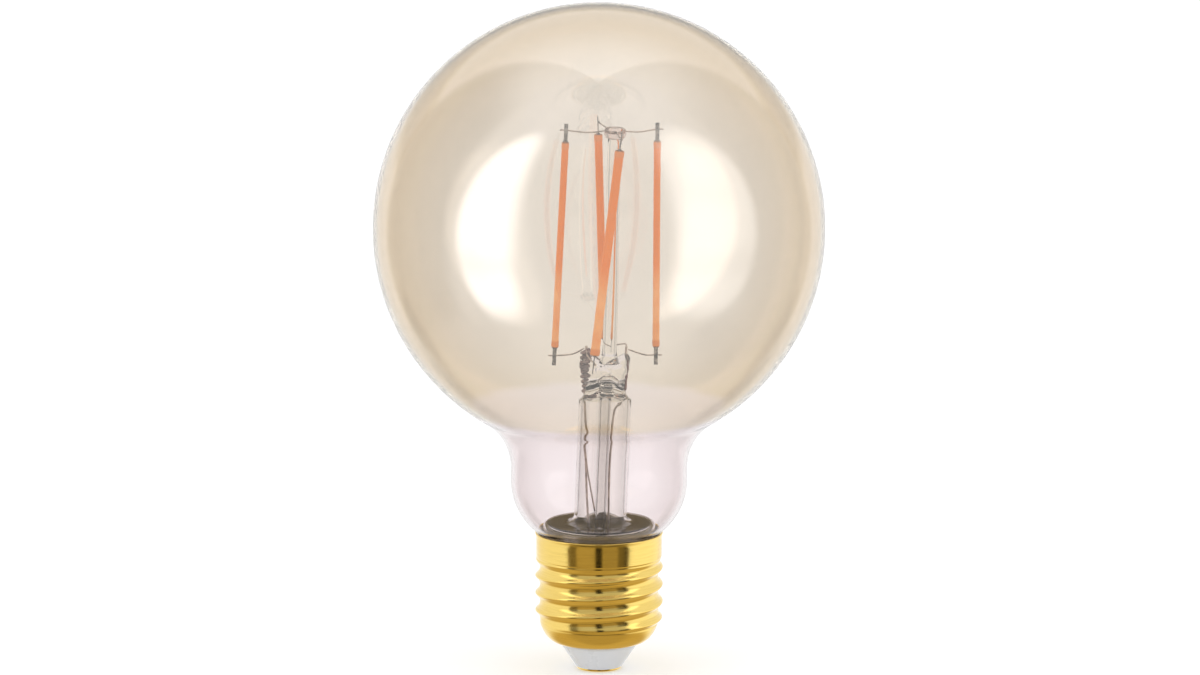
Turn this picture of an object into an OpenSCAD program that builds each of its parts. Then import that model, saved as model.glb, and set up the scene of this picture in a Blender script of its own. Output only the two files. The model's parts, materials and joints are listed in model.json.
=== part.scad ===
// LED filament globe bulb with an E27 screw cap.
// The origin is the centre of the centre contact's face. +Z runs up the axis to the top of the globe.
// All lengths are in millimetres.

/* [Globe] */
// Outside diameter of the glass globe
globe_d = 93; // [90:1:96]
// Height of the globe's centre above the centre contact
globe_centre_z = 92.3; // [90:0.1:96]
// Thickness of the glass wall
glass_wall = 0.8; // [0.6:0.1:1.2]

/* [Neck] */
// Outside diameter of the neck where it is widest
neck_d = 36.4; // [34:0.2:38]
// Radius of the hollow sweep between the globe and the neck
neck_sweep_r = 12; // [9:1:14]
// Radius of the round shoulder that turns the neck in to the cap
neck_shoulder_r = 13.2; // [12.6:0.1:14]
// Height at which that shoulder starts
neck_shoulder_z = 39.5; // [39:0.1:40]

/* [Screw cap] */
// Diameter over the thread's crests
thread_crest_d = 26.4; // [26.1:0.05:26.45]
// Diameter at the thread's roots
thread_root_d = 24.5; // [24.3:0.05:24.65]
// Rise of the thread in one turn
thread_pitch = 3.629; // [3.6:0.001:3.65]
// Diameter of the plain collar above the thread
collar_d = 26; // [25.8:0.1:26.2]
// Height of the cap's rim above the centre contact
cap_rim_z = 28.7; // [28.5:0.1:29]
// Thickness of the cap's brass
cap_wall = 0.3; // [0.25:0.05:0.35]

/* [Cap base] */
// Diameter of the insulator where it leaves the shell
insulator_top_d = 15.7; // [15.2:0.1:15.8]
// Diameter of the insulator at the centre contact
insulator_foot_d = 9.5; // [9:0.1:10]
// Diameter of the centre contact
contact_d = 9.2; // [8.6:0.1:9.4]

/* [Glass stem] */
// Lean of the stem and all it carries, in degrees
stem_lean = 2.3; // [0:0.1:2.5]
// Outside diameter of the flare tube
flare_tube_d = 10.8; // [10.6:0.1:11.2]
// Outside diameter of the exhaust tube
exhaust_d = 2.4; // [2:0.1:2.8]
// Width of the pinched press
press_w = 10; // [9.6:0.2:10.4]
// Diameter of the glass rod that carries the upper ends of the filaments
rod_d = 2.8; // [2.4:0.1:3]
// Diameter of the button on top of the rod
button_d = 4.1; // [3.8:0.1:4.6]

/* [Filaments] */
// Length of a filament's phosphor coat
coat_length = 43.3; // [42.5:0.1:44]
// Width of the coat, across the edges of the strip
coat_w = 1.4; // [1.3:0.05:1.6]
// Thickness of the coat, across the faces of the strip
coat_t = 1.8; // [1.6:0.05:2]
// Number of LED dice on each strip
die_count = 24; // [12:1:30]
// Length of the bare end of each terminal
terminal_length = 3.6; // [3.2:0.1:4]
// Diameter of the fine wires that hold the filaments
fine_wire_d = 0.3; // [0.25:0.05:0.4]

/* [Hidden] */
$fn = 96;

// Clearance that keeps neighbouring pieces from touching, and overlap that joins parts of one piece
gap = 0.02;
bite = 0.02;

// ---- Glass envelope ----

neck_r = neck_d / 2;
// The sweep's centre is where a circle touches both the globe and the neck from outside
sweep_x = neck_r + neck_sweep_r;
sweep_z = globe_centre_z - sqrt(pow(globe_d / 2 + neck_sweep_r, 2) - pow(sweep_x, 2));
// Where the sweep touches the globe, measured along the line between the two centres
sweep_share = globe_d / 2 / (globe_d / 2 + neck_sweep_r);
sweep_touch = [sweep_x * sweep_share, globe_centre_z + (sweep_z - globe_centre_z) * sweep_share];
shoulder_x = neck_r - neck_shoulder_r;
// The neck ends in a plain tail, which stands inside the cap's collar
tail_r = 12.4;
tail_wall = 0.6;
seal_z = 25;

// The half outline of the glass, drawn in by an inset for its inner face
module envelope_outline(inset, tail_inset) {
    intersection() {
        union() {
            translate([0, globe_centre_z])
                circle(r = globe_d / 2 - inset, $fn = 240);
            difference() {
                polygon([[0, sweep_z - bite], [sweep_x, sweep_z - bite], [sweep_x, sweep_z],
                         sweep_touch, [0, sweep_touch[1]]]);
                translate([sweep_x, sweep_z])
                    circle(r = neck_sweep_r + inset, $fn = 160);
            }
            translate([0, neck_shoulder_z - bite])
                square([neck_r - inset, sweep_z - neck_shoulder_z + bite]);
            difference() {
                translate([shoulder_x, neck_shoulder_z])
                    circle(r = neck_shoulder_r - inset, $fn = 160);
                translate([shoulder_x - neck_shoulder_r, neck_shoulder_z])
                    square([2 * neck_shoulder_r, neck_shoulder_r + 1]);
            }
            translate([0, seal_z])
                square([tail_r - tail_inset, neck_shoulder_z - seal_z]);
        }
        translate([0, seal_z])
            square([globe_d, globe_centre_z + globe_d]);
    }
}

module glass_envelope() {
    color([0.93, 0.80, 0.58, 0.45])
        difference() {
            rotate_extrude() envelope_outline(0, 0);
            translate([0, 0, -bite])
                rotate_extrude() envelope_outline(glass_wall, tail_wall);
        }
}

// ---- Screw cap ----

collar_r = collar_d / 2;
thread_mid_r = (thread_crest_d + thread_root_d) / 4;
thread_depth = (thread_crest_d - thread_root_d) / 4;
// Height of one crest on the +X side
thread_crest_z = 17.8;
thread_bottom_z = 9.4;
thread_fade_z = 11;
thread_top_z = 23.8;
// The bottom of the shell curls in under the thread to grip the insulator
curl_inner = [8, 5.5];
curl_pull = [[10.3, 5.7], [11.4, 7.3]];
curl_outer = [12.15, thread_bottom_z];
shell_columns = 48;
curl_steps = 6;
thread_steps = 36;

function mix(a, b, t) = a + (b - a) * t;
function ramp(low, high, v) =
    let (t = min(max((v - low) / (high - low), 0), 1)) t * t * (3 - 2 * t);
function curve(a, b, c, d, t) =
    pow(1 - t, 3) * a + 3 * pow(1 - t, 2) * t * b + 3 * (1 - t) * t * t * c + t * t * t * d;

// How much of the thread's depth shows at a height, and the radius it swings about
function thread_share(z) = ramp(thread_bottom_z, thread_fade_z, z) * (1 - ramp(21.8, thread_top_z, z));
function barrel_r(z) =
    mix(curl_outer[0], thread_mid_r, ramp(thread_bottom_z, thread_fade_z, z))
    + (collar_r - thread_mid_r) * ramp(21.8, thread_top_z, z);

// The shell's outside, from the curl's edge up to the rim, as radius and height
shell_outside = concat(
    [for (i = [0 : curl_steps])
        curve(curl_inner, curl_pull[0], curl_pull[1], curl_outer, i / curl_steps)],
    [for (i = [1 : thread_steps])
        let (z = mix(thread_bottom_z, thread_top_z, i / thread_steps)) [barrel_r(z), z]],
    [[collar_r, cap_rim_z - 0.3], [collar_r - cap_wall / 3, cap_rim_z]]
);
// The inside follows it one wall further in
shell_inside = concat(
    [[collar_r - cap_wall, cap_rim_z], [collar_r - cap_wall, thread_top_z]],
    [for (i = [thread_steps - 1 : -1 : 0])
        let (z = mix(thread_bottom_z, thread_top_z, i / thread_steps)) [barrel_r(z) - cap_wall, z]],
    [for (i = [curl_steps - 1 : -1 : 0])
        curve(curl_inner, curl_pull[0], curl_pull[1], curl_outer, i / curl_steps)
        + cap_wall * [-0.6 * i / curl_steps, 1 - i / curl_steps * 0.4]]
);
shell_rows = concat(shell_outside, shell_inside);

// A right-handed thread rises by one pitch in each turn
function thread_r(row, angle) =
    row[0] + thread_depth * thread_share(row[1])
    * cos(360 * (row[1] - thread_crest_z) / thread_pitch - angle);

// Points of a closed ring of rows, and the faces that join each row to the next and the last to the first
function lathe_points(rows, columns) = [
    for (row = rows) for (c = [0 : columns - 1])
        let (angle = 360 * c / columns, r = thread_r(row, angle))
        [r * cos(angle), r * sin(angle), row[1]]
];
function lathe_faces(row_count, columns) = [
    for (i = [0 : row_count - 1]) for (c = [0 : columns - 1])
        let (j = (i + 1) % row_count, d = (c + 1) % columns)
        each [
            [i * columns + c, j * columns + c, j * columns + d],
            [i * columns + c, j * columns + d, i * columns + d]
        ]
];

module cap_shell() {
    color([0.83, 0.66, 0.22])
        polyhedron(
            points = lathe_points(shell_rows, shell_columns),
            faces = lathe_faces(len(shell_rows), shell_columns),
            convexity = 10
        );
}

insulator_foot_z = 0.45;
pin_r = 1.5;

module cap_insulator() {
    color([0.93, 0.93, 0.95])
        rotate_extrude()
            polygon([
                [pin_r + gap, insulator_foot_z], [insulator_foot_d / 2, insulator_foot_z],
                [insulator_top_d / 2, 5.2], [insulator_top_d / 2, 5.9],
                [9.2, 6.45], [9.2, 7.4], [pin_r + gap, 7.4]
            ]);
}

contact_round = 0.35;

module centre_contact() {
    color([0.85, 0.70, 0.30])
        rotate_extrude()
            union() {
                difference() {
                    union() {
                        square([contact_d / 2 - contact_round, insulator_foot_z - gap]);
                        translate([contact_d / 2 - contact_round, contact_round])
                            circle(r = contact_round);
                    }
                    translate([0, insulator_foot_z - gap])
                        square([contact_d, 1]);
                }
                square([pin_r, 7.6]);
            }
}

module cap_cement() {
    cement_r = collar_r - cap_wall - gap;
    color([0.56, 0.48, 0.34])
        rotate_extrude()
            difference() {
                translate([11.3, seal_z - 0.9])
                    square([cement_r - 11.3, cap_rim_z - 0.4 - seal_z + 0.9]);
                translate([0, seal_z - gap])
                    square([tail_r + gap, cap_rim_z]);
            }
}

// ---- Glass stem ----

// The stem leans about the middle of its seal
module on_stem() {
    translate([0, 0, seal_z]) rotate([0, stem_lean, 0]) translate([0, 0, -seal_z]) children();
}

flare_r = flare_tube_d / 2;
flare_wall = 0.7;
skirt_r = tail_r - tail_wall - gap;
skirt_wall = 0.5;
shelf_z = 30.7;
shelf_wall = 0.6;
flare_fillet_r = 1.8;
skirt_round = 1.1;
tube_top_z = 56.4;

// The skirt stands upright in the neck and the tube leans, joined by a hollow fillet on the shelf
module stem_flare() {
    color([0.90, 0.92, 0.94, 0.5])
        difference() {
            union() {
                rotate_extrude()
                    difference() {
                        skirt_outline(0);
                        skirt_outline(skirt_wall);
                    }
                on_stem()
                    rotate_extrude()
                        difference() {
                            translate([0, shelf_z - shelf_wall])
                                square([flare_r + flare_fillet_r, shelf_wall / 2 + flare_fillet_r]);
                            translate([flare_r + flare_fillet_r, shelf_z + flare_fillet_r - shelf_wall / 2])
                                circle(r = flare_fillet_r);
                            translate([flare_r + flare_fillet_r - bite, shelf_z + bite])
                                square([1, 9]);
                        }
                on_stem()
                    translate([0, 0, shelf_z - shelf_wall / 2])
                        cylinder(r = flare_r, h = tube_top_z - shelf_z + shelf_wall / 2);
            }
            on_stem()
                translate([0, 0, shelf_z - 3])
                    cylinder(r = flare_r - flare_wall, h = tube_top_z);
        }
}

module skirt_outline(inset) {
    translate([0, seal_z - (inset > 0 ? bite : 0)])
        square([skirt_r - inset, shelf_z - skirt_round - seal_z + bite]);
    translate([0, shelf_z - skirt_round - bite])
        square([skirt_r - skirt_round, skirt_round - inset + bite]);
    translate([skirt_r - skirt_round, shelf_z - skirt_round])
        circle(r = skirt_round - inset);
}

press_x = -0.4;
press_bottom_z = 58.9;
press_top_z = 66.4;
press_t = 3.6;
lobe_r = 2;
lobe_x = press_w / 2 - lobe_r;
rod_foot = [0.5, 0, 63];
rod_head = [-0.2, 0, 111];
seal_wire_d = 0.6;
left_seal_x = press_x - lobe_x - 0.9;
right_seal_x = press_x + lobe_x + 1.3;

// The flare's top, pinched flat round the wires, with a lobe over each wire
module stem_press() {
    color([0.88, 0.88, 0.88, 0.6])
        on_stem()
            difference() {
                union() {
                    hull() {
                        translate([0, 0, tube_top_z + gap])
                            cylinder(r = flare_r, h = 0.4, $fn = 48);
                        for (side = [-1, 1])
                            translate([press_x + side * lobe_x, 0, press_bottom_z + 0.6])
                                sphere(r = lobe_r, $fn = 24);
                    }
                    hull()
                        for (side = [-1, 1], z = [press_bottom_z, press_top_z - 1.6])
                            translate([press_x + side * lobe_x, 0, z])
                                sphere(r = press_t / 2, $fn = 24);
                    for (side = [-1, 1])
                        hull()
                            for (z = [press_bottom_z + 1, press_top_z - lobe_r])
                                translate([press_x + side * lobe_x, 0, z])
                                    sphere(r = lobe_r + 0.02, $fn = 24);
                }
                // The tube's bore runs on up to the foot of the exhaust tube
                translate([0, 0, tube_top_z - 1])
                    cylinder(r = flare_r - flare_wall, h = 2, $fn = 48);
                // The blown hole through which the globe was emptied
                translate([0.5, -1.6, 60.1])
                    sphere(r = 1.7, $fn = 24);
                translate([0, 0, tube_top_z])
                    cylinder(d = exhaust_d + 2 * gap, h = 3.5, $fn = 24);
                between(rod_foot, rod_head)
                    cylinder(d = rod_d + 2 * gap, h = norm(rod_head - rod_foot), $fn = 32);
                for (x = [left_seal_x, right_seal_x])
                    translate([x, 0, tube_top_z])
                        cylinder(d = seal_wire_d + 2 * gap, h = press_top_z, $fn = 16);
            }
}

exhaust_tip_z = 27;
exhaust_wall = 0.4;

module exhaust_tube() {
    color([0.90, 0.92, 0.94, 0.6])
        on_stem()
            difference() {
                union() {
                    translate([0, 0, exhaust_tip_z])
                        cylinder(d = exhaust_d, h = tube_top_z + 3.4 - exhaust_tip_z);
                    translate([0, 0, exhaust_tip_z])
                        sphere(d = exhaust_d);
                }
                translate([0, 0, exhaust_tip_z + 0.6])
                    cylinder(d = exhaust_d - 2 * exhaust_wall, h = tube_top_z);
            }
}

// Puts a child's +Z along the line from a to b, starting at a
module between(a, b) {
    run = b - a;
    azimuth = atan2(run[1], run[0]);
    translate(a)
        rotate([0, acos(run[2] / norm(run)), azimuth])
            rotate([0, 0, -azimuth])
                children();
}

button_z = 112.2;
button_h = 2.4;
// The fine wires enter the button at this height
button_wire_z = 112.6;

module support_rod() {
    color([0.90, 0.88, 0.84, 0.6])
        on_stem()
            between(rod_foot, rod_head)
                cylinder(d = rod_d, h = norm(rod_head - rod_foot));
}

module rod_button() {
    round_r = button_h / 2;
    color([0.88, 0.80, 0.78, 0.7])
        on_stem()
            difference() {
                translate([rod_head[0], 0, button_z])
                    rotate_extrude()
                        difference() {
                            union() {
                                translate([0, -round_r])
                                    square([button_d / 2 - round_r, button_h]);
                                translate([button_d / 2 - round_r, 0])
                                    circle(r = round_r);
                            }
                            translate([-5, -5])
                                square([5, 10]);
                        }
                between(rod_foot, rod_head)
                    cylinder(d = rod_d + 2 * gap, h = norm(rod_head - rod_foot) + gap);
                for (w = [0 : 3])
                    wire(upper_wires[w], fine_wire_d + 2 * gap);
            }
}

// ---- Wires ----

// A round wire along a list of points. Its straight lengths stop short of each bend, where a bead joins them
module wire(points, d) {
    last = len(points) - 1;
    for (i = [0 : last - 1])
        let (
            run = points[i + 1] - points[i],
            step = run / norm(run) * 0.35 * d,
            start = points[i] + (i > 0 ? 1 : 0) * step,
            end = points[i + 1] - (i + 1 < last ? 1 : 0) * step
        )
        between(start, end)
            cylinder(d = d, h = norm(end - start), $fn = 24);
    for (i = [1 : 1 : last - 1])
        translate(points[i])
            sphere(d = d * 1.3, $fn = 24);
}

// Each filament's coat runs between these points, in the stem's frame: left, right, front, back
filament_heads = [[-10.3, 0, 109.9], [8.5, 0, 111.2], [0.8, -9.7, 110.3], [-3.6, 9.7, 110.5]];
filament_feet = [[-10.8, 0, 67.1], [10, 0, 67.8], [-2.6, -9.7, 67.5], [-0.7, 9.7, 67.2]];
// The strips of the left and right filaments lie across X, and those of the other two across Y
filament_turns = [0, 0, 90, 90];
terminal_t = 0.2;
// Height of the welds on the terminals, above the coat's head and below its foot
weld_up = 2.2;
weld_down = 1.6;

function along(i, t) =
    let (a = filament_feet[i], b = filament_heads[i], middle = (a + b) / 2)
    middle + (b - a) / norm(b - a) * t;
function upper_weld(i) = along(i, coat_length / 2 + weld_up);
function lower_weld(i) = along(i, -coat_length / 2 - weld_down);
// A wire lies against its terminal's face, on the side that this gives
function weld_side(i) =
    (terminal_t + fine_wire_d) / 2 * (filament_turns[i] == 0 ? [0, 1, 0] : [1, 0, 0]);
function beyond(i) = 1.3 * (
    filament_turns[i] == 0
    ? [filament_heads[i][0] > 0 ? 1 : -1, 0, 0]
    : [0, filament_heads[i][1] > 0 ? 1 : -1, 0]
);

// How far each upper wire hangs below the line between its ends
upper_sags = [0.4, 0.35, 0.35, 0.35];
// The upper wires start inside the button and run out past the terminals
upper_wires = [
    for (i = [0 : 3])
        let (
            end = upper_weld(i) + weld_side(i),
            away = beyond(i) / norm(beyond(i)),
            start = [rod_head[0], 0, button_wire_z] + away * 1.2 + weld_side(i)
        )
        [start, mix(start, end, 0.5) - [0, 0, upper_sags[i]], end, end + beyond(i)]
];

module upper_wire(i) {
    color([0.62, 0.60, 0.56])
        on_stem()
            wire(upper_wires[i], fine_wire_d);
}

left_lead_top = [left_seal_x, 0, 67.6];
right_lead_top = [right_seal_x, 0, 67.8];
inner_lead_d = 0.5;

// The lower wires start on the inner leads and run out past the terminals
function lower_start(i) = [
    left_lead_top + [-0.4, 0, -0.5],
    right_lead_top + [0.4, 0, -0.6],
    left_lead_top + [0, -0.4, -0.9],
    right_lead_top + [0, 0.4, -0.2]
][i];
function lower_end(i) = lower_weld(i) + weld_side(i);
lower_wires = [
    [lower_start(0), mix(lower_start(0), lower_end(0), 0.4) - [0, 0.1, 0.6],
     lower_end(0), lower_end(0) + beyond(0)],
    [lower_start(1), mix(lower_start(1), lower_end(1), 0.6) - [0, 0, 0.45],
     lower_end(1), lower_end(1) + beyond(1)],
    [lower_start(2), lower_start(2) + [0.3, -2.6, -0.7], lower_end(2), lower_end(2) + beyond(2)],
    [lower_start(3), lower_start(3) + [-0.4, 2.4, 0.2], lower_end(3), lower_end(3) + beyond(3)]
];

module lower_wire(i) {
    color([0.62, 0.60, 0.56])
        on_stem()
            wire(lower_wires[i], fine_wire_d);
}

seal_wire_top_z = 64;
seal_wire_bottom_z = 58.6;

module inner_lead(x, top) {
    color([0.45, 0.42, 0.40])
        on_stem()
            wire([[x, 0, seal_wire_top_z + gap], top], inner_lead_d);
}

module seal_wire(x) {
    color([0.72, 0.36, 0.28])
        on_stem()
            translate([x, 0, seal_wire_bottom_z])
                cylinder(d = seal_wire_d, h = seal_wire_top_z - seal_wire_bottom_z);
}

outer_lead_d = 0.45;
lead_bend_z = 57.3;
board_y = 3.2;
board_t = 0.8;
board_front = board_y - board_t / 2;
board_back = board_y + board_t / 2;
board_pad_z = 23.6;

// The left lead kinks where it is spliced, and the splice's second strand hangs free beside it
left_lead_route = [
    [left_seal_x, 0, seal_wire_bottom_z - gap], [left_seal_x, 0, lead_bend_z], [-4.1, -0.5, 55],
    [-3.7, -1, 51], [-3.3, -1.2, 49.6], [-3.8, -1.2, 48.2], [-3.4, -1.2, 44], [-2.9, -1, 36],
    [-2.1, -0.6, 28], [-1.8, 1.2, 25.6], [-1.8, board_front - 0.25, board_pad_z]
];
left_tail_route = [[-3.8, -1.2, 48.2], [-3.1, -1.9, 43], [-2.3, -2, 38.6], [-1.2, -1.8, 33.4]];
right_lead_route = [
    [right_seal_x, 0, seal_wire_bottom_z - gap], [right_seal_x, 0, lead_bend_z], [3.3, 0.9, 55.6],
    [2, 1.8, 53.4], [1.5, 1.7, 44], [1.7, 1.6, 32], [1.9, 1.9, 26],
    [1.6, board_front - 0.25, board_pad_z]
];

module outer_lead_left() {
    color([0.66, 0.52, 0.42])
        on_stem()
            union() {
                wire(left_lead_route, outer_lead_d);
                wire(left_tail_route, outer_lead_d * 0.7);
            }
}

module outer_lead_right() {
    color([0.66, 0.52, 0.42])
        on_stem()
            wire(right_lead_route, outer_lead_d);
}

// ---- Filaments ----

strip_w = 0.9;
strip_t = 0.35;
strip_inset = 1.1;
die = [0.5, 0.22, 0.9];
crimp_w = 1.1;
crimp_t = 0.7;
crimp_length = 1.6;
coat_round = 0.55;

// Puts a child on filament i, with +Z up its strip and +X across it
module on_filament(i) {
    on_stem()
        between(along(i, 0), filament_heads[i])
            rotate([0, 0, filament_turns[i]])
                children();
}

module slab(w, t, low, high) {
    translate([-w / 2, -t / 2, low])
        cube([w, t, high - low]);
}

module coat_outline() {
    square([coat_w - 2 * coat_round, coat_t], center = true);
    square([coat_w, coat_t - 2 * coat_round], center = true);
    for (x = [-1, 1], y = [-1, 1])
        translate([x * (coat_w / 2 - coat_round), y * (coat_t / 2 - coat_round)])
            circle(r = coat_round, $fn = 32);
}

strip_half = coat_length / 2 - strip_inset;

module dice(grow) {
    step = (2 * strip_half - 3) / (die_count - 1);
    for (k = [0 : die_count - 1])
        translate([0, -strip_t / 2 - die[1] / 2, (k - (die_count - 1) / 2) * step])
            cube(die + grow * [1, 1, 1], center = true);
}

module filament_coat(i) {
    color([0.93, 0.55, 0.27])
        on_filament(i)
            difference() {
                translate([0, 0, -coat_length / 2])
                    linear_extrude(coat_length) coat_outline();
                slab(strip_w + gap, strip_t + gap, -strip_half - gap, strip_half + gap);
                // One channel holds the row of dice
                translate([0, -strip_t / 2 - die[1] / 2, 0])
                    slab(die[0] + gap, die[1] + gap, -strip_half, strip_half);
                for (end = [-1, 1])
                    translate([0, 0, end * (coat_length / 2 - crimp_length / 2)])
                        slab(crimp_w + gap, crimp_t + gap, -crimp_length / 2 - gap, crimp_length / 2 + gap);
            }
}

module filament_strip(i) {
    color([0.82, 0.80, 0.74])
        on_filament(i)
            slab(strip_w, strip_t, -strip_half, strip_half);
}

module filament_dice(i) {
    color([0.55, 0.62, 0.86])
        on_filament(i)
            dice(-gap);
}

// A flat tab with a crimp folded over the strip's end
module filament_terminal(i, end) {
    color([0.45, 0.45, 0.44])
        on_filament(i)
            mirror([0, 0, end > 0 ? 0 : 1])
                difference() {
                    union() {
                        slab(crimp_w, crimp_t, coat_length / 2 - crimp_length, coat_length / 2);
                        slab(0.8, terminal_t, coat_length / 2 - bite, coat_length / 2 + terminal_length);
                    }
                    slab(strip_w + gap, strip_t + gap, 0, strip_half + gap);
                }
}

// ---- Driver, inside the cap ----

sleeve_r = 11.1;
sleeve_wall = 0.5;
sleeve_bottom_z = 9.6;
sleeve_top_z = 29.9;
board_w = 17;
board_bottom_z = 9.8;
board_top_z = 24.6;

module driver_sleeve() {
    color([0.42, 0.38, 0.26])
        translate([0, 0, sleeve_bottom_z])
            rotate_extrude()
                translate([sleeve_r - sleeve_wall, 0])
                    square([sleeve_wall, sleeve_top_z - sleeve_bottom_z]);
}

module driver_board() {
    color([0.62, 0.55, 0.30])
        difference() {
            translate([-board_w / 2, board_front, board_bottom_z])
                cube([board_w, board_t, board_top_z - board_bottom_z]);
            // Holes for the wires' ends
            for (spot = [[-7, 11.2], [7, 11.2], [0, 11]])
                translate([spot[0], board_y, spot[1]])
                    rotate([90, 0, 0])
                        cylinder(d = 0.8, h = 4, center = true);
        }
}

// A block on the board's front face, or on its back face
module package(x, z, w, h, t, face) {
    y = face < 0 ? board_front - gap - t : board_back + gap;
    translate([x - w / 2, y, z - h / 2])
        cube([w, t, h]);
}

module package_legs(x, z, w, h, face) {
    y = face < 0 ? board_front - gap - 0.2 : board_back + gap;
    for (side = [-1, 1], k = [-1.5 : 1 : 1.5])
        translate([x + side * (w / 2 + 0.45) - 0.45, y, z + k * h / 4.5 - 0.2])
            cube([0.9, 0.2, 0.4]);
}

module bridge_rectifier() {
    color([0.12, 0.12, 0.13])
        union() {
            package(-4.4, 20.4, 4.6, 3.8, 2.2, 1);
            package_legs(-4.4, 20.4, 4.6, 3.8, 1);
        }
}

module driver_chip() {
    color([0.10, 0.10, 0.11])
        union() {
            package(-4.4, 14.4, 3.8, 4.8, 1.4, 1);
            package_legs(-4.4, 14.4, 3.8, 4.8, 1);
        }
}

module smoothing_capacitor() {
    can_d = 7.4;
    color([0.16, 0.15, 0.18])
        translate([-4.1, board_front - gap - can_d / 2, 12.6])
            rotate_extrude()
                difference() {
                    square([can_d / 2, 10.4]);
                    // The rolled groove near the sealed end
                    translate([can_d / 2, 1.6])
                        circle(r = 0.35, $fn = 32);
                }
}

module choke() {
    core_d = 6;
    color([0.25, 0.24, 0.24])
        translate([4.2, board_front - gap - core_d / 2, 14.2])
            rotate_extrude()
                difference() {
                    square([core_d / 2, 7.4]);
                    translate([core_d / 2 - 0.9, 1])
                        square([2, 5.4]);
                }
}

module fuse_resistor() {
    body_r = 1.2;
    color([0.72, 0.62, 0.46])
        translate([7.6, board_front - gap - body_r, 11])
            rotate([0, -90, 0])
                rotate_extrude()
                    union() {
                        square([0.3, 7.2]);
                        translate([0, 0.8])
                            square([body_r - 0.2, 5.6]);
                        translate([0, 0.8])
                            square([body_r, 1.3]);
                        translate([0, 5.1])
                            square([body_r, 1.3]);
                    }
}

// A small board with a shielded radio, and its antenna track standing along one edge
module radio_module() {
    color([0.18, 0.36, 0.25])
        union() {
            package(4, 17.6, 8, 11, 0.8, 1);
            translate([0, 0.8 - bite, 0])
                package(3.6, 15.4, 5.6, 5.2, 1.5, 1);
            for (k = [0 : 3])
                translate([0, 0.8 - bite, 0])
                    package(4, 19.4 + k, 6.4, 0.35, 0.15, 1);
        }
}

module shell_wire() {
    color([0.80, 0.78, 0.74])
        wire([[7, board_y - 0.2, 11.2], [7.1, board_back + 1, 11.1], [7.4, board_back + 1.6, 9.3],
              [8.6, 7.1, 8.8]], 0.5);
}

module contact_wire() {
    color([0.80, 0.78, 0.74])
        wire([[0, board_y - 0.2, 11], [0, board_front - 1, 11], [0, 1.2, 9.4], [0, 0, 7.62]], 0.5);
}

glass_envelope();
cap_shell();
cap_insulator();
centre_contact();
cap_cement();
stem_flare();
stem_press();
exhaust_tube();
support_rod();
rod_button();
inner_lead(left_seal_x, left_lead_top);  // inner_lead_left
inner_lead(right_seal_x, right_lead_top);  // inner_lead_right
seal_wire(left_seal_x);  // seal_wire_left
seal_wire(right_seal_x);  // seal_wire_right
outer_lead_left();
outer_lead_right();
upper_wire(0);  // upper_wire_left
upper_wire(1);  // upper_wire_right
upper_wire(2);  // upper_wire_front
upper_wire(3);  // upper_wire_back
lower_wire(0);  // lower_wire_left
lower_wire(1);  // lower_wire_right
lower_wire(2);  // lower_wire_front
lower_wire(3);  // lower_wire_back
filament_coat(0);  // left_coat
filament_strip(0);  // left_strip
filament_dice(0);  // left_dice
filament_terminal(0, 1);  // left_upper_terminal
filament_terminal(0, -1);  // left_lower_terminal
filament_coat(1);  // right_coat
filament_strip(1);  // right_strip
filament_dice(1);  // right_dice
filament_terminal(1, 1);  // right_upper_terminal
filament_terminal(1, -1);  // right_lower_terminal
filament_coat(2);  // front_coat
filament_strip(2);  // front_strip
filament_dice(2);  // front_dice
filament_terminal(2, 1);  // front_upper_terminal
filament_terminal(2, -1);  // front_lower_terminal
filament_coat(3);  // back_coat
filament_strip(3);  // back_strip
filament_dice(3);  // back_dice
filament_terminal(3, 1);  // back_upper_terminal
filament_terminal(3, -1);  // back_lower_terminal
driver_sleeve();
driver_board();
bridge_rectifier();
smoothing_capacitor();
choke();
fuse_resistor();
driver_chip();
radio_module();
shell_wire();
contact_wire();
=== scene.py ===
"""Looks of an LED filament globe bulb with a screw cap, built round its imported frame."""

import json
import math
import random

import bpy
from mathutils import Matrix, Vector, noise


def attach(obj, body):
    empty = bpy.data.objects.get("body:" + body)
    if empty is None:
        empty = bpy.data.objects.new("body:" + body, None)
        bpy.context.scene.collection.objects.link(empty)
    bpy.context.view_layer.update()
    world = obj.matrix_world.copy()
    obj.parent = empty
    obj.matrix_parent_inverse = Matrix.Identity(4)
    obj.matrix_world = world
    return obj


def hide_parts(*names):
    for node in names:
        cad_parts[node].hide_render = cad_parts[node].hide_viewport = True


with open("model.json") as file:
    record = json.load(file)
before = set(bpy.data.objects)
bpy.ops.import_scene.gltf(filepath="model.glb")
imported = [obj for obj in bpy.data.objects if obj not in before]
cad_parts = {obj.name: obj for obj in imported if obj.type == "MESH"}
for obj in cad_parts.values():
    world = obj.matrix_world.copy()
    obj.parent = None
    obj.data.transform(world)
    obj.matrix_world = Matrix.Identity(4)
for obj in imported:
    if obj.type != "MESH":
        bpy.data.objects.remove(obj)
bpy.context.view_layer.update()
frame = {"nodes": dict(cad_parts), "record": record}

MM = 0.001
UP = Vector((0, 0, 1))
TURN = 2 * math.pi


# ---- Shader expressions ----


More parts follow.
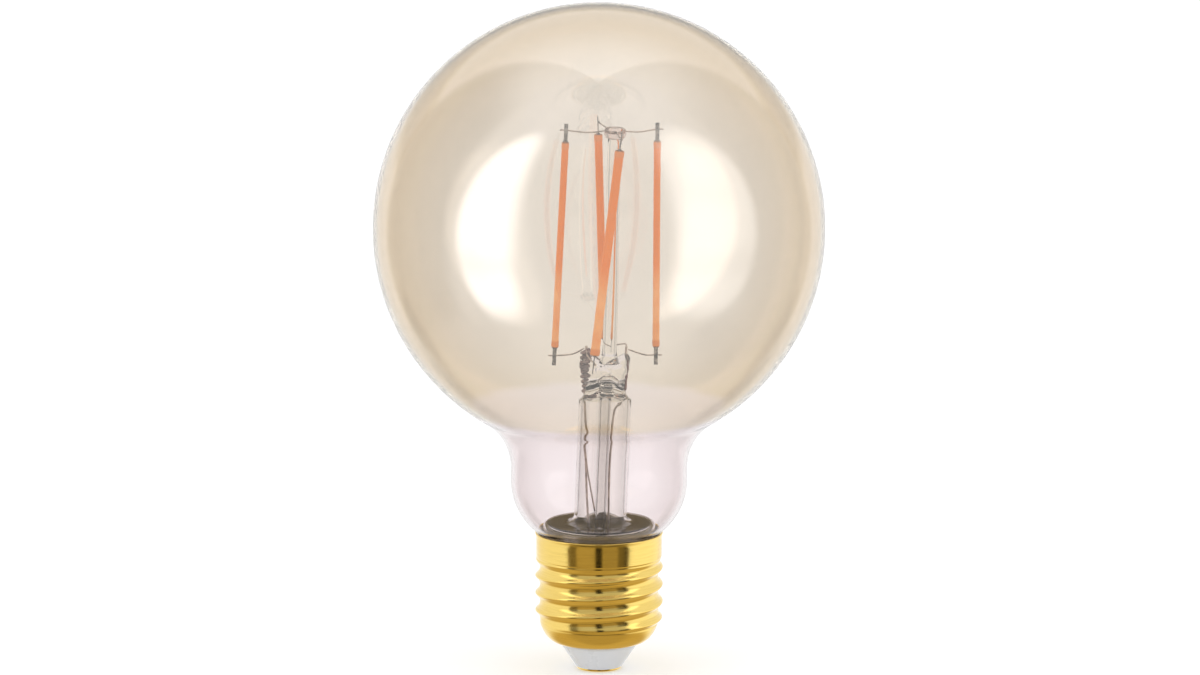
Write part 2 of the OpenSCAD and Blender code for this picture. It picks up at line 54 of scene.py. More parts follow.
class Signal:
    """A number that changes over a surface, used in ordinary Python sums."""

    def __init__(self, sheet, socket):
        self.sheet, self.socket = sheet, socket

    def sum_with(self, operation, other, turned=False):
        pair = (other, self) if turned else (self, other)
        return self.sheet.node("ShaderNodeMath", {"operation": operation}, dict(enumerate(pair)))

    def __add__(self, other):
        return self.sum_with("ADD", other)

    def __radd__(self, other):
        return self.sum_with("ADD", other, True)

    def __sub__(self, other):
        return self.sum_with("SUBTRACT", other)

    def __rsub__(self, other):
        return self.sum_with("SUBTRACT", other, True)

    def __mul__(self, other):
        return self.sum_with("MULTIPLY", other)

    def __rmul__(self, other):
        return self.sum_with("MULTIPLY", other, True)

    def __truediv__(self, other):
        return self.sum_with("DIVIDE", other)

    def larger(self, other):
        return self.sum_with("MAXIMUM", other)

    def at_most_one(self):
        return self.sum_with("MINIMUM", 1.0)


class Sheet:
    """A node tree, with the few kinds of node that the finishes below share."""

    def __init__(self, tree):
        self.tree = tree

    def node(self, kind, settings=None, inputs=None, out=0):
        """Adds one node: its settings first, then the values or links of its sockets."""
        made = self.tree.nodes.new(kind)
        for name, value in (settings or {}).items():
            if name == "stops":
                ramp = made.color_ramp
                while len(ramp.elements) < len(value):
                    ramp.elements.new(0.5)
                for element, (place, colour) in zip(ramp.elements, value):
                    element.position, element.color = place, (*colour, 1)
            else:
                setattr(made, name, value)
        for name, value in (inputs or {}).items():
            self.fill(made.inputs[name], value)
        return Signal(self, made.outputs[out])

    def fill(self, socket, value):
        if isinstance(value, Signal):
            self.tree.links.new(value.socket, socket)
        elif socket.type == "RGBA" and len(value) == 3:
            socket.default_value = (*value, 1)
        else:
            socket.default_value = value

    def place(self):
        """Where a point of the piece lies, in metres."""
        return self.node("ShaderNodeTexCoord", out="Object")

    def stretched(self, scale):
        """The same place, with each axis scaled to give a pattern of size one the size wanted."""
        inputs = {0: self.place(), 1: scale}
        return self.node("ShaderNodeVectorMath", {"operation": "MULTIPLY"}, inputs)

    def grain(self, size_mm, detail=4.0, roughness=0.5, squash=(1, 1, 1), distortion=0.0):
        """Noise with features about that large, squashed along the axes by the given shares."""
        scale = [1 / (size_mm * MM * s) for s in squash]
        return self.node(
            "ShaderNodeTexNoise",
            None,
            {
                "Vector": self.stretched(scale),
                "Scale": 1.0,
                "Detail": detail,
                "Roughness": roughness,
                "Distortion": distortion,
            },
        )

    def ramp(self, value, low, high, to_low=0.0, to_high=1.0):
        """A smooth step between two values."""
        return self.node(
            "ShaderNodeMapRange",
            {"interpolation_type": "SMOOTHSTEP"},
            {
                "Value": value,
                "From Min": low,
                "From Max": high,
                "To Min": to_low,
                "To Max": to_high,
            },
        )

    def blend(self, mask, first, second):
        """The first colour where the mask is 0 and the second where it is 1."""
        inputs = {0: mask, 6: first, 7: second}
        return self.node("ShaderNodeMix", {"data_type": "RGBA"}, inputs, out=2)

    def split(self, vector, axis):
        return self.node("ShaderNodeSeparateXYZ", None, {0: vector}, out=axis)


class Finish(Sheet):
    """A material on one Principled shader."""

    def __init__(self, name, **values):
        self.material = bpy.data.materials.new(name)
        self.material.use_nodes = True
        super().__init__(self.material.node_tree)
        self.shader = self.tree.nodes["Principled BSDF"]
        self.set(**values)

    def set(self, **values):
        for name, value in values.items():
            self.fill(self.shader.inputs[name.replace("_", " ")], value)
        return self

    def relief(self, height, depth_mm, strength=1.0):
        inputs = {"Strength": strength, "Distance": depth_mm * MM, "Height": height}
        return self.set(Normal=self.node("ShaderNodeBump", None, inputs))


# ---- Finishes ----

COATING_EDGE = 54.6 * MM
COATING_GLOSS = 0.75


def amber_glass():
    """Clear glass, with a glossy amber coating that fades out just above the neck."""
    f = Finish(
        "amber_glass",
        Transmission_Weight=1.0,
        Roughness=0.0,
        IOR=1.3,
        Coat_IOR=2.5,
        Coat_Roughness=0.0,
    )
    height = f.split(f.place(), "Z")
    waver = (f.grain(9, 2.0) - 0.5) * (1.6 * MM)
    coated = f.ramp(height + waver, COATING_EDGE - 0.7 * MM, COATING_EDGE + 0.9 * MM)
    cloud = f.grain(22, 3.0)
    # Seen at a slant, light passes through more of the coating
    slant = f.node("ShaderNodeLayerWeight", None, {"Blend": 0.5}, out="Facing")
    deep = f.ramp(slant, 0.05, 0.60)
    amber = f.blend(cloud, (0.985, 0.935, 0.865), (0.975, 0.915, 0.84))
    amber = f.blend(deep, amber, (0.88, 0.785, 0.655))
    clear = f.blend(deep, (0.955, 0.905, 0.91), (0.92, 0.855, 0.855))
    f.set(Base_Color=f.blend(coated, clear, amber))
    f.set(Coat_Weight=coated * f.ramp(slant, 0.6, 0.25) * COATING_GLOSS)
    return f.material


def stem_glass(name="stem_glass", tint=(0.965, 0.955, 0.94), lumps=0.0):
    """Clear lead glass, drawn and pressed by hand, so never quite even."""
    f = Finish(name, Transmission_Weight=1.0, Roughness=0.0, IOR=1.5)
    f.set(Base_Color=f.blend(f.grain(4, 3.0), tint, tuple(c * 0.985 for c in tint)))
    f.relief(f.grain(2.2, 2.0, squash=(1, 1, 2.5)), 0.03 + lumps, 0.6)
    return f.material


def gold_plate(name="cap_brass", streak=0.25):
    """Bright plated brass with the fine rings that rolling and polishing leave."""
    f = Finish(name, Metallic=1.0)
    rings = f.grain(6, 4.0, 0.6, squash=(1, 1, streak / 6))
    patch = f.grain(5, 3.0)
    tone = f.blend(patch, (0.89, 0.665, 0.20), (0.85, 0.61, 0.165))
    f.set(Base_Color=f.blend(f.ramp(rings, 0.35, 0.75) * 0.3, tone, (0.72, 0.47, 0.11)))
    f.set(Roughness=f.ramp(rings, 0.3, 0.75, 0.10, 0.22) + (patch - 0.5) * 0.05)
    f.relief(rings, 0.012, 0.55)
    return f.material


def moulded(name, colour, rough=0.4, size=0.4, depth=0.01, metallic=0.0, variety=0.85):
    """A matt or satin solid, with a light grain and a little change of tone."""
    f = Finish(name, Metallic=metallic)
    patch = f.grain(size * 8, 3.0)
    f.set(Base_Color=f.blend(patch, colour, tuple(c * variety for c in colour)))
    f.set(Roughness=rough + (patch - 0.5) * 0.15)
    f.relief(f.grain(size, 5.0, 0.6), depth, 0.5)
    return f.material


def phosphor():
    """Silicone full of phosphor: orange, deeper over the crimped ends, and paler towards the foot,
    where a pale reflection in the glass is painted in.
    """
    f = Finish("phosphor_silicone", Roughness=0.5)
    share = f.node("ShaderNodeAttribute", {"attribute_name": "along"}, out="Fac")
    speck = f.grain(0.35, 4.0, 0.7)
    patch = f.grain(3, 3.0)
    # Paler orange towards the foot is a painted reflection: the pale glare the glass lays over the
    # filaments' lower parts
    body = f.blend(f.ramp(share, 0.45, 0.25), (0.91, 0.243, 0.008), (0.99, 0.45, 0.15))
    body = f.blend(f.ramp(patch, 0.3, 0.8) * 0.5, body, (0.92, 0.215, 0.008))
    end = f.ramp(share, 0.045, 0.03).larger(f.ramp(share, 0.955, 0.97))
    body = f.blend(end, body, (0.82, 0.27, 0.055))
    lip = f.ramp(share, 0.012, 0.004).larger(f.ramp(share, 0.988, 0.996))
    body = f.blend(lip, body, (0.34, 0.15, 0.06))
    f.set(Base_Color=f.blend(f.ramp(speck, 0.55, 0.8) * 0.35, body, (0.95, 0.52, 0.2)))
    f.relief(speck, 0.02, 0.5)
    return f.material


def drawn_metal(name, colour, rough=0.3, contrast=0.62):
    """Drawn wire or rolled strip, with fine scratches along it."""
    f = Finish(name, Metallic=1.0)
    scratch = f.grain(0.4, 4.0, 0.7, squash=(0.3, 0.3, 3))
    patch = f.grain(1.4, 3.0)
    dark = tuple(c * contrast for c in colour)
    f.set(Base_Color=f.blend(f.ramp(patch, 0.35, 0.65), colour, dark))
    f.set(Roughness=f.ramp(scratch, 0.3, 0.8, rough - 0.08, rough + 0.15))
    f.relief(scratch, 0.01, 0.4)
    return f.material


def sleeve_film():
    """Translucent olive film, rolled into a tube, with streaks round it."""
    f = Finish("sleeve_film", Roughness=0.35)
    streak = f.grain(2.4, 4.0, 0.6, squash=(1, 1, 0.5))
    f.set(Base_Color=f.blend(streak, (0.17, 0.135, 0.048), (0.24, 0.19, 0.08)))
    f.relief(streak, 0.03, 0.5)
    return f.material


FINISHES = {
    "amber_glass": amber_glass(),
    "stem_glass": stem_glass(),
    "cap_brass": gold_plate(),
    "contact_brass": gold_plate("contact_brass", 0.6),
    "white_insulator": moulded(
        "white_insulator", (0.625, 0.645, 0.69), 0.28, 0.6, 0.006, variety=0.96
    ),
    "cap_cement": moulded("cap_cement", (0.36, 0.27, 0.13), 0.8, 0.3, 0.05),
    "nickel_wire": drawn_metal("nickel_wire", (0.74, 0.63, 0.56), 0.38),
    "seal_copper": drawn_metal("seal_copper", (0.30, 0.14, 0.11), 0.45),
    "splice_metal": moulded(
        "splice_metal", (0.42, 0.31, 0.30), 0.5, 0.25, 0.02, metallic=0.5, variety=0.5
    ),
    "tinned_copper": drawn_metal("tinned_copper", (0.62, 0.50, 0.42), 0.35),
    "phosphor_silicone": phosphor(),
    "strip_ceramic": moulded("strip_ceramic", (0.62, 0.58, 0.50), 0.6, 0.1, 0.01),
    "led_die": moulded("led_die", (0.26, 0.34, 0.66), 0.15, 0.2, 0.004),
    "plated_steel": drawn_metal("plated_steel", (0.56, 0.53, 0.50), 0.32, 0.22),
    "sleeve_film": sleeve_film(),
    "board_laminate": moulded("board_laminate", (0.34, 0.27, 0.08), 0.55, 0.25, 0.02),
    "black_epoxy": moulded("black_epoxy", (0.012, 0.012, 0.014), 0.5, 0.12, 0.02),
    "capacitor_sleeve": moulded("capacitor_sleeve", (0.022, 0.019, 0.03), 0.25, 0.5, 0.01),
    "ferrite": moulded("ferrite", (0.05, 0.048, 0.047), 0.75, 0.15, 0.03),
    "resistor_body": moulded("resistor_body", (0.48, 0.34, 0.18), 0.3, 0.4, 0.01),
    "radio_board": moulded("radio_board", (0.028, 0.11, 0.05), 0.3, 0.5, 0.01),
}

for row in frame["record"]["subparts"]:
    cad_mesh = frame["nodes"][row["node"]].data
    cad_mesh.materials.clear()
    cad_mesh.materials.append(FINISHES[row["material_slot"]])


# ---- Making pieces ----


def facing_out(verts, faces):
    """The same faces, all turned over if they enclose a negative volume."""
    spots = [Vector(v) for v in verts]
    volume = sum(
        spots[f[0]].dot(spots[f[k]].cross(spots[f[k + 1]]))
        for f in faces
        for k in range(1, len(f) - 1)
    )
    return faces if volume > 0 else [tuple(reversed(f)) for f in faces]


def piece(name, verts, faces, slot, *nodes, finish=None, smooth_angle=None):
    """A mesh given in millimetres, as a piece that stands for those CAD nodes."""
    faces = facing_out(verts, faces)
    mesh = bpy.data.meshes.new(name)
    mesh.from_pydata([Vector(v) * MM for v in verts], [], faces)
    mesh.update()
    made = bpy.data.objects.new(name, mesh)
    bpy.context.scene.collection.objects.link(made)
    mesh.materials.append(finish or FINISHES[slot])
    mesh.shade_smooth()
    if smooth_angle:
        mesh.set_sharp_from_angle(angle=math.radians(smooth_angle))
    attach(made, "root")
    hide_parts(*nodes)
    return made


def skin(rings, joined=False, capped=True):
    """Faces over rings of points, where a ring of one point is a pole.

    joined makes a shell whose last ring meets its first. Otherwise capped closes both ends.
    """
    verts, starts = [], []
    for ring in rings:
        starts.append(len(verts))
        verts.extend(ring)
    faces = []
    count = len(rings)
    for i in range(count if joined else count - 1):
        a, b = i, (i + 1) % count
        size = max(len(rings[a]), len(rings[b]))
        for k in range(size):
            n = (k + 1) % size
            corners = [
                starts[a] + k % len(rings[a]),
                starts[a] + n % len(rings[a]),
                starts[b] + n % len(rings[b]),
                starts[b] + k % len(rings[b]),
            ]
            faces.append(tuple(dict.fromkeys(corners)))
    if capped and not joined:
        for ring, turned in ((0, True), (count - 1, False)):
            if len(rings[ring]) > 2:
                loop = [starts[ring] + k for k in range(len(rings[ring]))]
                faces.append(tuple(reversed(loop) if turned else loop))
    return verts, faces


def arc(centre, radius, first, last, steps):
    """Points on an arc of the half outline, from one angle to the other, in degrees."""
    angles = [math.radians(first + (last - first) * k / steps) for k in range(steps + 1)]
    return [(centre[0] + radius * math.cos(a), centre[1] + radius * math.sin(a)) for a in angles]


def lathe(outline, columns, shift=None):
    """Rings for a half outline of radii and heights. shift gives each height's own centre."""
    rings = []
    for r, z in outline:
        x, y = shift(z) if shift else (0, 0)
        if r < 1e-6:
            rings.append([(x, y, z)])
        else:
            rings.append(
                [
                    (x + r * math.cos(TURN * c / columns), y + r * math.sin(TURN * c / columns), z)
                    for c in range(columns)
                ]
            )
    return rings


def flowing(points, per_span=8):
    """A smooth curve through the points."""
    pts = [Vector(p) for p in points]
    pts = [pts[0] * 2 - pts[1], *pts, pts[-1] * 2 - pts[-2]]
    out = []
    for i in range(1, len(pts) - 2):
        a, b, c, d = pts[i - 1 : i + 3]
        for k in range(per_span):
            t = k / per_span
            bend = (2 * a - 5 * b + 4 * c - d) * t**2 + (3 * b - a - 3 * c + d) * t**3
            out.append(0.5 * (2 * b + (c - a) * t + bend))
    out.append(pts[-2])
    return out


def tube(path, radius, sides=14):
    """Rings of a round wire along a path. radius may depend on the share of the path passed."""
    rings, last = [], len(path) - 1
    side = None
    for i, p in enumerate(path):
        run = (path[min(i + 1, last)] - path[max(i - 1, 0)]).normalized()
        if side is None:
            side = run.orthogonal().normalized()
        side = (side - run * side.dot(run)).normalized()
        other = run.cross(side)
        r = radius(i / last) if callable(radius) else radius
        turns = [TURN * k / sides for k in range(sides)]
        rings.append([tuple(p + (side * math.cos(a) + other * math.sin(a)) * r) for a in turns])
    return rings


def join(*parts):
    """One set of points and faces from several."""
    verts, faces = [], []
    for v, f in parts:
        base = len(verts)
        verts.extend(v)
        faces.extend(tuple(k + base for k in face) for face in f)
    return verts, faces


# ---- The stem's lean ----

SEAL_Z = 25
LEAN = math.radians(2.3)
STEM = (
    Matrix.Translation((0, 0, SEAL_Z))
    @ Matrix.Rotation(LEAN, 4, "Y")
    @ Matrix.Translation((0, 0, -SEAL_Z))
)


def on_stem(point):
    return STEM @ Vector(point)


def leaned(rings):
    return [[tuple(on_stem(p)) for p in ring] for ring in rings]


# ---- Glass envelope ----

GLOBE_R, GLOBE_Z, WALL = 46.5, 92.3, 0.8
NECK_R, SWEEP_R = 18.2, 12
SHOULDER_R, SHOULDER_Z = 13.2, 39.5
TAIL_R, TAIL_WALL = 12.4, 0.6
SWEEP_X = NECK_R + SWEEP_R
SWEEP_Z = GLOBE_Z - math.sqrt((GLOBE_R + SWEEP_R) ** 2 - SWEEP_X**2)
TOUCH = math.degrees(math.atan2(GLOBE_Z - SWEEP_Z, SWEEP_X))
ENVELOPE_COLUMNS = 224


def envelope_outline(inset, tail_r):
    """From the top of the globe down to the foot of the neck's tail."""
    shoulder_x, shoulder_r = NECK_R - SHOULDER_R, SHOULDER_R - inset
    tail_turn = math.degrees(math.acos((tail_r - shoulder_x) / shoulder_r))
    line = arc((0, GLOBE_Z), GLOBE_R - inset, 90, -TOUCH, 120)
    line[0] = (0, GLOBE_Z + GLOBE_R - inset)
    line += arc((SWEEP_X, SWEEP_Z), SWEEP_R + inset, 180 - TOUCH, 180, 20)[1:]
    line += arc((shoulder_x, SHOULDER_Z), shoulder_r, 0, -tail_turn, 20)
    return line + [(tail_r, SEAL_Z + 0.2)]


envelope = piece(
    "glass_envelope_blown",
    *skin(
        lathe(
            envelope_outline(0, TAIL_R)
            + [(TAIL_R - 0.15, SEAL_Z), (TAIL_R - TAIL_WALL + 0.15, SEAL_Z)]
            + envelope_outline(WALL, TAIL_R - TAIL_WALL)[::-1],
            ENVELOPE_COLUMNS,
        )
    ),
    "amber_glass",
    "glass_envelope",
)
envelope.visible_shadow = False


# ---- Screw cap ----

PITCH, CREST_Z = 3.629, 17.8
CREST_R, ROOT_R, COLLAR_R = 13.2, 12.25, 13.0
MID_R, THREAD_DEPTH = (CREST_R + ROOT_R) / 2, (CREST_R - ROOT_R) / 2
THREAD_BOTTOM, THREAD_FADE, THREAD_END, THREAD_TOP, RIM_Z = 9.4, 11, 21.8, 23.8, 28.7
GROOVE_Z, GROOVE_DEPTH, GROOVE_WIDTH = THREAD_TOP - 0.35, 0.12, 0.2
CURL = [(8, 5.5), (10.3, 5.7), (11.4, 7.3), (12.15, THREAD_BOTTOM)]
CAP_WALL, CURL_WALL, LIP_R = 0.3, 0.18, 0.17
CAP_COLUMNS = 240
CREST_SHARPNESS = 1.0
CREST_VALLEY = math.exp(-2 * CREST_SHARPNESS)


def step(low, high, v):
    t = min(max((v - low) / (high - low), 0), 1)
    return t * t * (3 - 2 * t)


def bezier(points, t):
    a, b, c, d = (Vector(p) for p in points)
    return tuple((1 - t) ** 3 * a + 3 * (1 - t) ** 2 * t * b + 3 * (1 - t) * t * t * c + t**3 * d)


def barrel_r(z):
    """The shell's radius midway between root and crest, with a fine groove under the collar."""
    return (
        CURL[-1][0]
        + (MID_R - CURL[-1][0]) * step(THREAD_BOTTOM, THREAD_FADE, z)
        + (COLLAR_R - MID_R) * step(THREAD_END, THREAD_TOP, z)
        - GROOVE_DEPTH * math.exp(-(((z - GROOVE_Z) / GROOVE_WIDTH) ** 2))
    )


def thread_share(z):
    """How much of the thread's depth there is at a height."""
    return step(THREAD_BOTTOM, THREAD_FADE, z) * (1 - step(THREAD_END, THREAD_TOP, z))


def shell_ring(r, z):
    """One ring of the rolled shell. A right-handed thread climbs one pitch in each turn."""
    ring = []
    for c in range(CAP_COLUMNS):
        angle = TURN * c / CAP_COLUMNS
        swing = math.exp(CREST_SHARPNESS * (math.cos(TURN * (z - CREST_Z) / PITCH - angle) - 1))
        swing = (2 * swing - 1 - CREST_VALLEY) / (1 - CREST_VALLEY)
        at = r + THREAD_DEPTH * thread_share(z) * swing
        ring.append((at * math.cos(angle), at * math.sin(angle), z))
    return ring


THREAD_ROWS, CURL_ROWS = 130, 20
heights = [
    THREAD_BOTTOM + (THREAD_TOP - THREAD_BOTTOM) * k / THREAD_ROWS for k in range(THREAD_ROWS + 1)
]
curl = [bezier(CURL, k / CURL_ROWS) for k in range(CURL_ROWS)]
outside = curl + [(barrel_r(z), z) for z in heights]
flare = [(0, 1.4), (0.02, 0.9), (0.12, 0.45)]
outside += [(COLLAR_R + out, RIM_Z - down) for out, down in flare]
outside += arc((COLLAR_R + 0.02, RIM_Z - LIP_R), LIP_R, -20, 90, 7)
inside = arc((COLLAR_R - CAP_WALL + LIP_R, RIM_Z - LIP_R), LIP_R, 90, 180, 5)
inside += [(COLLAR_R - CAP_WALL, RIM_Z - 0.6), (COLLAR_R - CAP_WALL, THREAD_TOP + 0.4)]
inside += [(barrel_r(z) - CAP_WALL, z) for z in heights[::-2]]
inside += [
    (r - CURL_WALL * k / CURL_ROWS, z + CAP_WALL * (1 - 0.4 * k / CURL_ROWS))
    for k, (r, z) in reversed(list(enumerate(curl)))
]
cap_shell = piece(
    "cap_shell_rolled",
    *skin([shell_ring(r, z) for r, z in outside + inside], joined=True),
    "cap_brass",
    "cap_shell",
)
# The glass would otherwise show a second cap and second filaments
cap_shell.visible_glossy = False

PIN_R, PIN_GAP, PIN_TOP = 1.5, 0.02, 7.6
INSULATOR_FOOT, INSULATOR_FOOT_R, INSULATOR_EDGE = 0.45, 4.88, 0.2
INSULATOR_R, INSULATOR_HIDDEN_R, INSULATOR_TOP = 7.85, 9.2, 7.4
foot_bend = (INSULATOR_FOOT_R - INSULATOR_EDGE, INSULATOR_FOOT + INSULATOR_EDGE)
insulator_outline = (
    [(PIN_R + PIN_GAP, INSULATOR_FOOT)]
    + arc(foot_bend, INSULATOR_EDGE, -90, -10, 5)
    + [(5.4, 1.42), (6.2, 2.6), (7.0, 3.8)]
    + arc((INSULATOR_R - 0.25, 5.1), 0.25, -30, 0, 4)
    + [(INSULATOR_R, 5.9), (INSULATOR_HIDDEN_R, 6.45), (INSULATOR_HIDDEN_R, INSULATOR_TOP)]
    + [(PIN_R + PIN_GAP, INSULATOR_TOP)]
)
piece(
    "cap_insulator_cone",
    *skin(lathe(insulator_outline, 128), joined=True),
    "white_insulator",
    "cap_insulator",
    smooth_angle=40,
)
CONTACT_R, CONTACT_EDGE, CONTACT_TOP = 4.6, 0.3, 0.43
contact_outline = (
    [(0, 0.06), (3.4, 0.03)]
    + arc((CONTACT_R - CONTACT_EDGE, CONTACT_EDGE), CONTACT_EDGE, -90, 0, 8)
    + [(CONTACT_R, CONTACT_TOP - 0.03), (CONTACT_R - 0.1, CONTACT_TOP), (PIN_R, CONTACT_TOP)]
    + [(PIN_R, PIN_TOP - 0.2), (PIN_R - 0.2, PIN_TOP), (0, PIN_TOP)]
)
piece(
    "centre_contact_disc",
    *skin(lathe(contact_outline, 128)),
    "contact_brass",
    "centre_contact",
    smooth_angle=35,
)

# ---- Glass stem ----

FLARE_R, FLARE_WALL = 5.4, 0.7
SKIRT_R, SKIRT_WALL, SKIRT_ROUND = 11.78, 0.5, 1.1
SHELF_Z, SHELF_WALL, FILLET_R = 30.7, 0.6, 1.8
TUBE_TOP = 56.4
PRESS_X, WAIST_HALF_W, PRESS_HALF_W, PRESS_HALF_T = -0.4, 4.0, 5.0, 1.8
WAIST_LOW, WAIST_Z, PINCH_LOW, PINCH_Z, LOBES_Z, PRESS_TOP = 55.2, 58.8, 56.0, 61.2, 63.5, 66.4
DOME_H = 1.9
SADDLE_DEPTH, SADDLE_X, SADDLE_W = 2.3, 0.6, 2.3
STEM_COLUMNS = 96


def stem_shift(z):
    """How far the stem's lean carries its centre sideways, with the skirt left upright."""
    return (math.tan(LEAN) * (z - SEAL_Z) * step(28, 33, z), 0)


def press_ring(z, inset=0.0):
    """The stem's outline at a height: round in the tube, then a waist, then pinched flat."""
    pinch = step(PINCH_LOW, PINCH_Z, z)
    near_top = max((z - (PRESS_TOP - 1.7)) / 1.7, 0)
    dome = math.sqrt(max(1 - near_top**2, 0.0))
    half_w = FLARE_R + (WAIST_HALF_W - FLARE_R) * step(WAIST_LOW, WAIST_Z, z)
    half_w += (PRESS_HALF_W - WAIST_HALF_W) * step(WAIST_Z, LOBES_Z, z)
    half_w *= 0.80 + 0.20 * dome
    half_t = (FLARE_R + (PRESS_HALF_T - FLARE_R) * pinch) * (0.25 + 0.75 * dome)
    squareness = 2 + 0.9 * pinch
    cx = stem_shift(z)[0] + PRESS_X * pinch
    ring = []
    for c in range(STEM_COLUMNS):
        a = TURN * c / STEM_COLUMNS
        ca, sa = math.cos(a), math.sin(a)
        reach = abs(ca / half_w) ** squareness + abs(sa / half_t) ** squareness
        reach **= -1 / squareness
        x, y = ca * reach, sa * reach
        # A swelling on each side, where the wires are sealed, and a hollow between them
        lobes = 0.34 * math.exp(-(((abs(x) - 3.3) / 1.3) ** 2)) - 0.3 * math.exp(-((x / 1.4) ** 2))
        y += math.copysign(lobes * pinch * dome, sa) * min(abs(sa) * 3, 1)
        lump = noise.noise(Vector((x * 0.45, y * 0.6, z * 0.42))) * 0.42 * pinch
        lump += noise.noise(Vector((x * 1.1, y * 0.9, z * 1.2))) * 0.2 * step(60.5, 63, z)
        grow = 1 + lump / max(reach, 1) - inset / reach
        saddle = SADDLE_DEPTH * math.exp(-(((x * grow - SADDLE_X) / SADDLE_W) ** 2))
        ring.append((cx + x * grow, y * grow, z - saddle * step(60.5, PRESS_TOP, z)))
    return ring


tube_heights = [TUBE_TOP * k / 14 + (SHELF_Z + FILLET_R + 0.3) * (1 - k / 14) for k in range(15)]
press_heights = [TUBE_TOP + (PRESS_TOP - TUBE_TOP) * k / 34 for k in range(1, 35)]
fillet = arc((FLARE_R + FILLET_R, SHELF_Z + FILLET_R), FILLET_R, 270, 180, 10)
inner_fillet = arc((FLARE_R + FILLET_R, SHELF_Z + FILLET_R), FILLET_R + SHELF_WALL, 180, 270, 10)
skirt_bend = (SKIRT_R - SKIRT_ROUND, SHELF_Z - SKIRT_ROUND)
skirt_outer = [(SKIRT_R, SEAL_Z)] + arc(skirt_bend, SKIRT_ROUND, 0, 90, 8)
skirt_inner = arc(skirt_bend, SKIRT_ROUND - SKIRT_WALL, 90, 0, 8) + [(SKIRT_R - SKIRT_WALL, SEAL_Z)]
bore_r = FLARE_R - FLARE_WALL
bore = [(bore_r, z) for z in tube_heights[::-1]]


def dome_ring(angle):
    """The closed end of the bore: the stem's outline drawn in towards the middle."""
    z = TUBE_TOP + DOME_H * math.sin(angle)
    middle = Vector((stem_shift(z)[0] + PRESS_X * step(PINCH_LOW, PINCH_Z, z), 0, z))
    return [tuple(middle.lerp(Vector(p), math.cos(angle))) for p in press_ring(z, FLARE_WALL)]


dome_rings = [dome_ring(math.radians(80 - 10 * k)) for k in range(8)]
flare_rings = (
    lathe(skirt_outer + fillet + [(FLARE_R, z) for z in tube_heights[1:]], STEM_COLUMNS, stem_shift)
    + [press_ring(z) for z in press_heights]
    + [[(stem_shift(PRESS_TOP)[0] + PRESS_X, 0, PRESS_TOP - 2.2)]]
)
bore_rings = (
    [[(stem_shift(TUBE_TOP)[0] + PRESS_X / 2, 0, TUBE_TOP + DOME_H)]]
    + dome_rings
    + lathe(bore + inner_fillet + skirt_inner, STEM_COLUMNS, stem_shift)
)
stem_verts, stem_faces = skin(flare_rings + bore_rings, joined=False, capped=False)
# The outer skin's last point and the bore's first are both poles, so no face joins them
stem_faces = [f for f in stem_faces if len(f) > 2]
rim_last = len(stem_verts) - STEM_COLUMNS
stem_faces += [
    (rim_last + k, rim_last + (k + 1) % STEM_COLUMNS, (k + 1) % STEM_COLUMNS, k)
    for k in range(STEM_COLUMNS)
]
BUBBLE, BUBBLE_SIZE = Vector((0.54, -0.35, 60.2)), (2.1, 1.05, 1.75)
BUBBLE_ROWS, BUBBLE_COLUMNS = 16, 40


def bubble_ring(k):
    """One level of the hole blown through the press, from its top to its foot."""
    a = math.pi * k / BUBBLE_ROWS
    columns = 1 if k in (0, BUBBLE_ROWS) else BUBBLE_COLUMNS
    reach = 0 if columns == 1 else math.sin(a)
    width, depth, height = BUBBLE_SIZE
    return [
        (
            BUBBLE.x + width * reach * math.cos(TURN * c / columns),
            BUBBLE.y + depth * reach * math.sin(TURN * c / columns),
            BUBBLE.z + height * math.cos(a),
        )
        for c in range(columns)
    ]


bubble_rings = [bubble_ring(k) for k in range(BUBBLE_ROWS + 1)]
bubble_verts, bubble_faces = skin(leaned(bubble_rings), capped=False)
bubble_faces = [tuple(reversed(f)) for f in facing_out(bubble_verts, bubble_faces)]
stem_faces = facing_out(stem_verts, stem_faces)
stem = piece(
    "stem_flare_and_press",
    *join((stem_verts, stem_faces), (bubble_verts, bubble_faces)),
    "stem_glass",
    "stem_flare",
    "stem_press",
)
stem.visible_shadow = False

ROD_FOOT, ROD_HEAD, ROD_R = (0.5, 0, 64.2), (-0.2, 0, 111), 1.4
rod_path = flowing([on_stem(p) for p in (ROD_FOOT, (0.35, 0, 80), (0.0, 0, 96), ROD_HEAD)], 14)


def rod_r(t):
    """The rod's radius: swollen at its foot, where it melts into the press."""
    return ROD_R + 0.9 * math.exp(-t * 45) + 0.05 * math.sin(9 * t)


rod = piece(
    "support_rod_drawn",
    *skin(tube(rod_path, rod_r, 32)),
    "stem_glass",
    "support_rod",
)
rod.visible_shadow = False

BUTTON_Z, BUTTON_R, BUTTON_H, BUTTON_ROUND = 112.2, 2.3, 2.4, 1.0
button_outline = [(0, -BUTTON_H / 2)]
button_outline += arc((BUTTON_R - BUTTON_ROUND, -0.15), BUTTON_ROUND, -80, 0, 8)
button_outline += arc((BUTTON_R - BUTTON_ROUND, 0.2), BUTTON_ROUND, 0, 80, 8)
button_outline += [(0, BUTTON_H / 2 + 0.02)]
button_rings = [
    [(x + ROD_HEAD[0], y, z + BUTTON_Z) for x, y, z in ring] for ring in lathe(button_outline, 48)
]
button = piece(
    "rod_button_pressed",
    *skin(leaned(button_rings)),
    "stem_glass",
    "rod_button",
    finish=stem_glass("button_glass", (0.90, 0.80, 0.78), 0.05),
)
button.visible_shadow = False

EXHAUST_R, EXHAUST_BORE_R = 1.2, 0.8
exhaust_path = flowing([on_stem((0, 0, z)) for z in (27.2, 40, 58.6)], 10)
